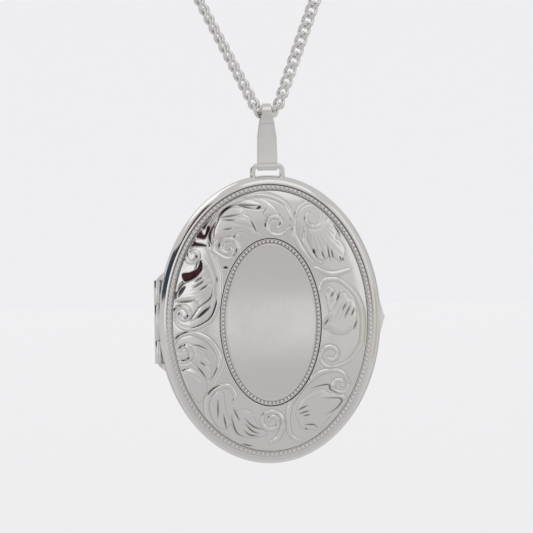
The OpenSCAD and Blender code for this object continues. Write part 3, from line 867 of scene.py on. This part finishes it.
for side, sign in (("front", -1), ("back", 1)):
    half = side + "_half"
    bearer = finish(hingeBearer(sign), side + "HingeBearer", half, polishedSilver,
                    [side + "_hinge_bearer"])
    softEdges(bearer, 0.05)
    piece = finish(thumbLip(sign), side + "ThumbLip", half, polishedSilver,
                   [side + "_thumb_lip"])
    softEdges(piece, 0.08, 3)

snap = {"halfLength": 7.9, "outer": 0.64, "inner": 0.9, "depth": (-0.49, 0.06)}


# The sprung lip that the front half closes over
def snapLip():
    bm = bmesh.new()
    rows = np.linspace(-snap["halfLength"], snap["halfLength"], 33)
    outer, inner = [[(caseEdge(z, snap[edge]), z) for z in rows] for edge in ("outer", "inner")]
    slab(bm, outer + inner[::-1], *snap["depth"])
    return bm


piece = finish(snapLip(), "snapLip", "back_half", polishedSilver, ["snap_lip"])
softEdges(piece, 0.08, 2)


# Round wire along points; ends are capped unless it closes on itself
def wire(points, radius, closed=False, around=3):
    data = bpy.data.curves.new("wire", "CURVE")
    data.dimensions, data.use_fill_caps = "3D", True
    data.bevel_depth, data.bevel_resolution = radius, around
    line = data.splines.new("POLY")
    line.points.add(len(points) - 1)
    line.points.foreach_set("co", np.hstack([points, np.ones((len(points), 1))]).ravel())
    line.use_cyclic_u = closed
    holder = bpy.data.objects.new("wire", data)
    mesh = bpy.data.meshes.new_from_object(holder)
    bpy.data.objects.remove(holder)
    return mesh


def joined(meshes):
    bm = bmesh.new()
    for mesh in meshes:
        bm.from_mesh(mesh)
    bmesh.ops.remove_doubles(bm, verts=bm.verts, dist=1e-5)
    bmesh.ops.recalc_face_normals(bm, faces=bm.faces)
    return bm


loop = {
    "wire": 0.36,
    "halfWidth": 2.02,
    "corner": 0.6,
    "wireFrom": 19.72,
    "foot": (19.42, 20.3),
    "footDepth": (0.06, 0.68),
}


def pendantLoop():
    h, c, r = loop["halfWidth"], loop["corner"], loop["wire"]
    angles = np.radians(np.linspace(0, 90, 9))
    right = [(h, 0, loop["wireFrom"]), (h, 0, loop["wireFrom"] + 0.5)]
    right += [(h - c + c * math.cos(a), 0, barZ - c + c * math.sin(a)) for a in angles]
    points = np.array(right + [(-x, y, z) for x, y, z in right[::-1]])
    bm = joined([wire(points, r, around=5)])
    low, high = loop["foot"]
    for x in (-h, h):
        slab(bm, [(x - r, low), (x + r, low), (x + r, high), (x - r, high)], *loop["footDepth"])
    return bm


finish(pendantLoop(), "pendantLoop", "back_half", polishedSilver, ["pendant_loop"])
print("hinge, lips and loop made")


bail = {
    "sheet": 0.22,
    "eye": 0.97,
    "wrap": 0.52,
    "frontY": 0.75,
    "kink": 46,
    "leaf": (21.6, 27.3),      # foot and head of the front leaf
    "lean": 0.03,
    "leanFrom": 24.5,
    "crown": 0.05,
    "crownTo": 27.9,
    "tuck": (21.8, 22.2),      # where the wrapped end lies behind the leaf
    "across": 12,
    "back": [(0.74, 27.6), (0.64, 26.9), (0.56, 25.6), (0.52, 24), (0.52, 22.6), (0.52, 21.9)],
    # Half width of the strip by height
    "widths": [(20, 1.37), (22, 1.37), (25.3, 1.3), (27.5, 1.0), (28, 0.84), (28.2, 0.7), (29.5, 0.6),
               (30, 0.6)],
}


def arcAt(y, z, r, start, end, count):
    a = np.radians(np.linspace(start, end, count))
    return [(y + r * math.cos(t), z + r * math.sin(t)) for t in a]


# A flat strip, bent along its path and cut to its width, that becomes sheet through its modifiers
def bailStrip():
    b = bail
    path = [(-b["frontY"] - b["lean"] * (z - b["leanFrom"]), z) for z in np.linspace(*b["leaf"], 22)]
    path += arcAt(0, eyeZ, b["eye"] + b["sheet"] / 2, 180 + b["kink"], -b["kink"], 40)
    path += [tuple(p) for p in spline(b["back"], 0.3)]
    path += arcAt(0, barZ, b["wrap"], 0, -180, 20) + [(-b["wrap"], z) for z in b["tuck"]]
    path = np.array(path)
    rows = len(path) - 1
    bm = bmesh.new()
    bmesh.ops.create_grid(bm, x_segments=b["across"], y_segments=rows, size=1)
    widths = np.array(b["widths"]).T
    for v in bm.verts:
        y, z = path[int(round((v.co.y + 1) / 2 * rows))]
        onFront = -b["frontY"] - 0.2 < y < -0.6 and z < b["crownTo"]
        crown = b["crown"] * v.co.x**2 if onFront else 0
        v.co = (v.co.x * float(np.interp(z, *widths)), y + crown, z)
    bmesh.ops.recalc_face_normals(bm, faces=bm.faces)
    return bm


piece = finish(bailStrip(), "bailStrip", "bail", polishedSilver, ["bail"])
sheet = piece.modifiers.new("sheet", "SOLIDIFY")
sheet.thickness, sheet.offset, sheet.use_even_offset = (bail["sheet"] - 0.01) * mm, 0, True
softEdges(piece, 0.05, 2, 50)
print("bail made")


chain = {
    "halfLength": 1.03,
    "halfWidth": 0.63,
    "lift": 0.3,
    "wire": 0.255,
    "flat": 0.42,       # the links are filed level at this height above their middle plane
    "pitch": 1.46,
    "across": 1.75,
    "perRun": 13,
    "first": (1.15, 0.33),
    "firstSlope": 50,
    "slopes": {-1: 63, 1: 70},      # degrees, left and right
    "rolls": {-1: (-52, 2, 8), 1: (-40, -9, 5)},   # at the bail, change per link, and over how many links
}


def heading(side, slope):
    a = math.radians(slope)
    return np.array([side * math.cos(a), 0, math.sin(a)])


def rollOf(side, i):
    start, change, count = chain["rolls"][side]
    return start + change * min(i, count)


def linkCentre(side, i):
    first = np.array([side * chain["first"][0], 0, eyeZ + chain["first"][1]])
    if i == 0:
        return first
    return (first + heading(side, chain["firstSlope"]) * chain["pitch"] / 2
            + heading(side, chain["slopes"][side]) * chain["pitch"] * (i - 0.5))


def linkMesh(centre, along, roll):
    a = math.radians(roll)
    sideways = math.cos(a) * np.array([0, 1, 0]) + math.sin(a) * np.cross(along, [0, 1, 0])
    over = np.cross(along, sideways)
    t = np.linspace(0, 2 * math.pi, 40, endpoint=False)[:, None]
    line = centre + chain["halfLength"] * np.cos(t) * along
    line = line + chain["halfWidth"] * np.sin(t) * sideways + chain["lift"] * np.sin(2 * t) * over
    mesh = wire(line, chain["wire"], closed=True, around=4)
    at = coordinates(mesh)
    lift = (at - centre) @ over
    at -= (lift - np.clip(lift, -chain["flat"], chain["flat"]))[:, None] * over
    store(mesh, at)
    return mesh


def chainRun(side):
    links = []
    for i in range(chain["perRun"]):
        slope = chain["firstSlope"] if i == 0 else chain["slopes"][side]
        links.append(linkMesh(linkCentre(side, i), heading(side, slope), rollOf(side, i)))
    return links


bailLink = linkMesh(np.array([0, 0, eyeZ]), np.array([1.0, 0, 0]), 0)
links = finish(joined(chainRun(-1) + [bailLink] + chainRun(1)), "chainLinks", "chain",
               wireSilver, ["bail_link", "chain_left", "chain_right"])
print("chain made")


def atRunEnd(side, reach, roll):
    last = chain["perRun"] - 1
    slope = chain["slopes"][side]
    place = linkCentre(side, last) + heading(side, slope) * reach
    turn = Matrix.Rotation(math.radians(slope - 180 if side < 0 else -slope), 4, "Y")
    return Matrix.Translation(place) @ turn @ Matrix.Rotation(math.radians(roll), 4, "X")


def ringLine(radius, start=0, end=360, count=64, at=(0, 0)):
    t = np.radians(np.linspace(start, end, count, endpoint=end - start < 360))
    return np.stack([at[0] + radius * np.cos(t), at[1] + radius * np.sin(t), 0 * t], 1)


fittings = {
    "jumpRing": 1.2,
    "jumpWire": 0.27,
    "jumpGap": 0.4,
    "jumpRoll": 110,
    "tagRoll": 200,
    "tagHalfThick": 0.23,
    "tagLength": 3.0,          # from the small round's middle to the large one's
    "tagRounds": (1.0, 1.7),
    "tagHoles": (0.62, 1.12),
}

for side, name in ((-1, "Left"), (1, "Right")):
    turn = fittings["jumpRoll"] + rollOf(side, chain["perRun"] - 1)
    ring = wire(ringLine(fittings["jumpRing"]), fittings["jumpWire"], closed=True, around=5)
    ring.transform(atRunEnd(side, fittings["jumpGap"] + fittings["jumpRing"], turn))
    finish(joined([ring]), "jumpRing" + name, "chain", wireSilver,
                        ["jump_ring_" + name.lower()])

claspLooks = {"clasp_body": polishedSilver, "clasp_trigger": polishedSilver, "clasp_spring": steel}
for name, look in claspLooks.items():
    kept = frame["nodes"][name]
    kept.data.materials.clear()
    kept.data.materials.append(look)


# Flat tag: two rounds joined by tapering sides, pierced twice
def endTag():
    half, apart = fittings["tagHalfThick"], fittings["tagLength"]
    small, large = fittings["tagRounds"]
    lean = math.degrees(math.acos((small - large) / apart))
    outline = [(apart + large * math.cos(t), large * math.sin(t))
               for t in np.radians(np.linspace(-lean, lean, 40))]
    outline += [(small * math.cos(t), small * math.sin(t))
                for t in np.radians(np.linspace(lean, 360 - lean, 24))]
    nearHole, farHole = fittings["tagHoles"]
    holes = [ringLine(nearHole, count=33), ringLine(farHole, count=41, at=(apart, 0))]
    bm = bmesh.new()
    edges = []
    for ring in [outline] + [hole[:-1, :2] for hole in holes]:
        verts = [bm.verts.new((x, y, -half)) for x, y in ring]
        edges += [bm.edges.new(p) for p in zip(verts, verts[1:] + verts[:1])]
    bmesh.ops.triangle_fill(bm, use_beauty=True, use_dissolve=False, edges=edges)
    grown = bmesh.ops.extrude_face_region(bm, geom=list(bm.faces))["geom"]
    lifted = [v for v in grown if isinstance(v, bmesh.types.BMVert)]
    bmesh.ops.translate(bm, verts=lifted, vec=(0, 0, 2 * half))
    reach = fittings["jumpGap"] + 2 * fittings["jumpRing"]
    roll = fittings["tagRoll"] + rollOf(1, chain["perRun"] - 1)
    bmesh.ops.transform(bm, verts=bm.verts, matrix=atRunEnd(1, reach, roll))
    bmesh.ops.recalc_face_normals(bm, faces=bm.faces)
    return bm


tag = finish(endTag(), "endTag", "chain", polishedSilver, ["end_tag"])
softEdges(tag, 0.06, 2)

# The chain as one taut length, from the left run's last link through the bail to the right run's
centres = [linkCentre(-1, i) for i in reversed(range(chain["perRun"]))] + [np.array([0, 0, eyeZ])]
centres += [linkCentre(1, i) for i in range(chain["perRun"])]
route = [(p + np.array([0, 0, caseZ])) * mm for p in centres]
chainLength = sum(np.linalg.norm(b - a) for a, b in zip(route, route[1:]))
(eyeZ + caseZ) * mm
print("end fittings made")


def flat(name, material, placed):  # one square of the studio
    bm = bmesh.new()
    bmesh.ops.create_grid(bm, x_segments=1, y_segments=1, size=0.5)
    mesh = bpy.data.meshes.new(name)
    bm.to_mesh(mesh)
    bm.free()
    mesh.materials.append(material)
    piece = bpy.data.objects.new(name, mesh)
    bpy.context.scene.collection.objects.link(piece)
    piece.matrix_world = placed
    return piece


def emitter(name, centre, size, colour, strength):  # a lamp or card, seen only as a reflection
    toward = Vector((0, 0, caseZ * mm)) - Vector(centre)
    placed = (Matrix.Translation(centre) @ toward.to_track_quat("Z", "Y").to_matrix().to_4x4()
              @ Matrix.Diagonal((*size, 1, 1)))
    material = Paint(name).set(Base_Color=(0, 0, 0), Emission_Color=colour, Emission_Strength=strength)
    lamp = flat(name, material, placed)
    lamp.visible_camera = lamp.visible_diffuse = lamp.visible_shadow = False


def wall(name, centre, tilt, turn):  # pale paper that no metal reflects
    placed = (Matrix.Translation(centre) @ Matrix.Rotation(math.radians(turn), 4, "Z")
              @ Matrix.Rotation(math.radians(tilt), 4, "X") @ Matrix.Scale(paper["size"], 4))
    material = Paint(name).set(Base_Color=paper["colour"], Roughness=0.9,
                               Emission_Color=paper["glow"], Emission_Strength=1.0)
    flat(name, material, placed).visible_glossy = False


paper = {
    "colour": (0.36, 0.36, 0.37),
    "glow": (0.56, 0.558, 0.562),
    "size": 3.0,
    "floorZ": -0.2,
    "middleZ": 0.2,
}
wall("floor", (0, 0, paper["floorZ"]), 0, 0)
for name, x, y in (("backWall", 0, 1), ("leftWall", -1, 0), ("rightWall", 1, 0), ("frontWall", 0, -1)):
    reach = paper["size"] / 2
    wall(name, (x * reach, y * reach, paper["middleZ"]), 90, 90 * abs(x))

world = bpy.data.worlds.new("studio")
world.use_nodes = True
tent = world.node_tree.nodes["Background"].inputs
tent["Color"].default_value, tent["Strength"].default_value = (0.945, 0.935, 0.93, 1), 0.63
bpy.context.scene.world = world

# The white tent round the object has a few lamps and a few darker cards: place, size, colour and strength
studio = {
    "lampTop": ((0.1, -0.3, 0.42), (0.5, 0.35), (1, 0.99, 0.98), 0.85),
    "lampRight": ((0.5, -0.3, 0.12), (0.25, 0.5), (1, 1, 1), 0.78),
    "lampLeft": ((-0.4, -0.5, 0.1), (0.2, 0.5), (1, 1, 1), 0.9),
    "room": ((0.0, -0.6, -0.06), (0.5, 0.44), (0.99, 0.965, 0.965), 0.49),
    "brightBand": ((0.03, -0.59, -0.116), (0.4, 0.062), (0.99, 0.995, 0.985), 0.65),
    "navyCard": ((-0.288, -0.06, 0.014), (0.31, 0.11), (0.015, 0.03, 0.05), 1),
    "maroonCard": ((-0.2, -0.14, 0.08), (0.1, 0.16), (0.05, 0.012, 0.015), 1),
    "beigeCard": ((0.3, -0.05, -0.09), (0.2, 0.12), (0.5, 0.48, 0.38), 1),
    "lampBack": ((-0.35, 0.25, 0.35), (0.35, 0.3), (1, 1, 1), 1.1),
    "darkBack": ((0.3, 0.28, -0.08), (0.16, 0.4), (0.42, 0.42, 0.43), 1),
    "lowBack": ((-0.1, 0.3, -0.18), (0.5, 0.12), (0.45, 0.45, 0.46), 1),
    "underCard": ((0, -0.1, -0.19), (0.5, 0.25), (0.5, 0.5, 0.5), 1),
}
for name, setting in studio.items():
    emitter(name, *setting)

camera = bpy.data.objects.new("camera", bpy.data.cameras.new("camera"))
bpy.context.scene.collection.objects.link(camera)
bpy.context.scene.camera = camera
view = {"azimuth": -3, "elevation": 5, "roll": -0.8, "distance": 0.4, "lens": 195.6, "aim": (-0.3, 7.4)}
azimuth, elevation = math.radians(view["azimuth"]), math.radians(view["elevation"])
level = math.cos(elevation)
back = Vector((math.sin(azimuth) * level, -math.cos(azimuth) * level, math.sin(elevation)))
aim = Vector((view["aim"][0] * mm, 0, (view["aim"][1] + caseZ) * mm))
camera.location = aim + back * view["distance"]
camera.rotation_mode = "QUATERNION"
camera.rotation_quaternion = (-back).to_track_quat("-Z", "Y") @ Matrix.Rotation(
    math.radians(view["roll"]), 3, "Z").to_quaternion()
camera.data.lens = view["lens"]
camera.data.clip_start, camera.data.clip_end = 0.01, 20
bpy.context.scene.view_settings.view_transform = "Standard"
print("studio made")
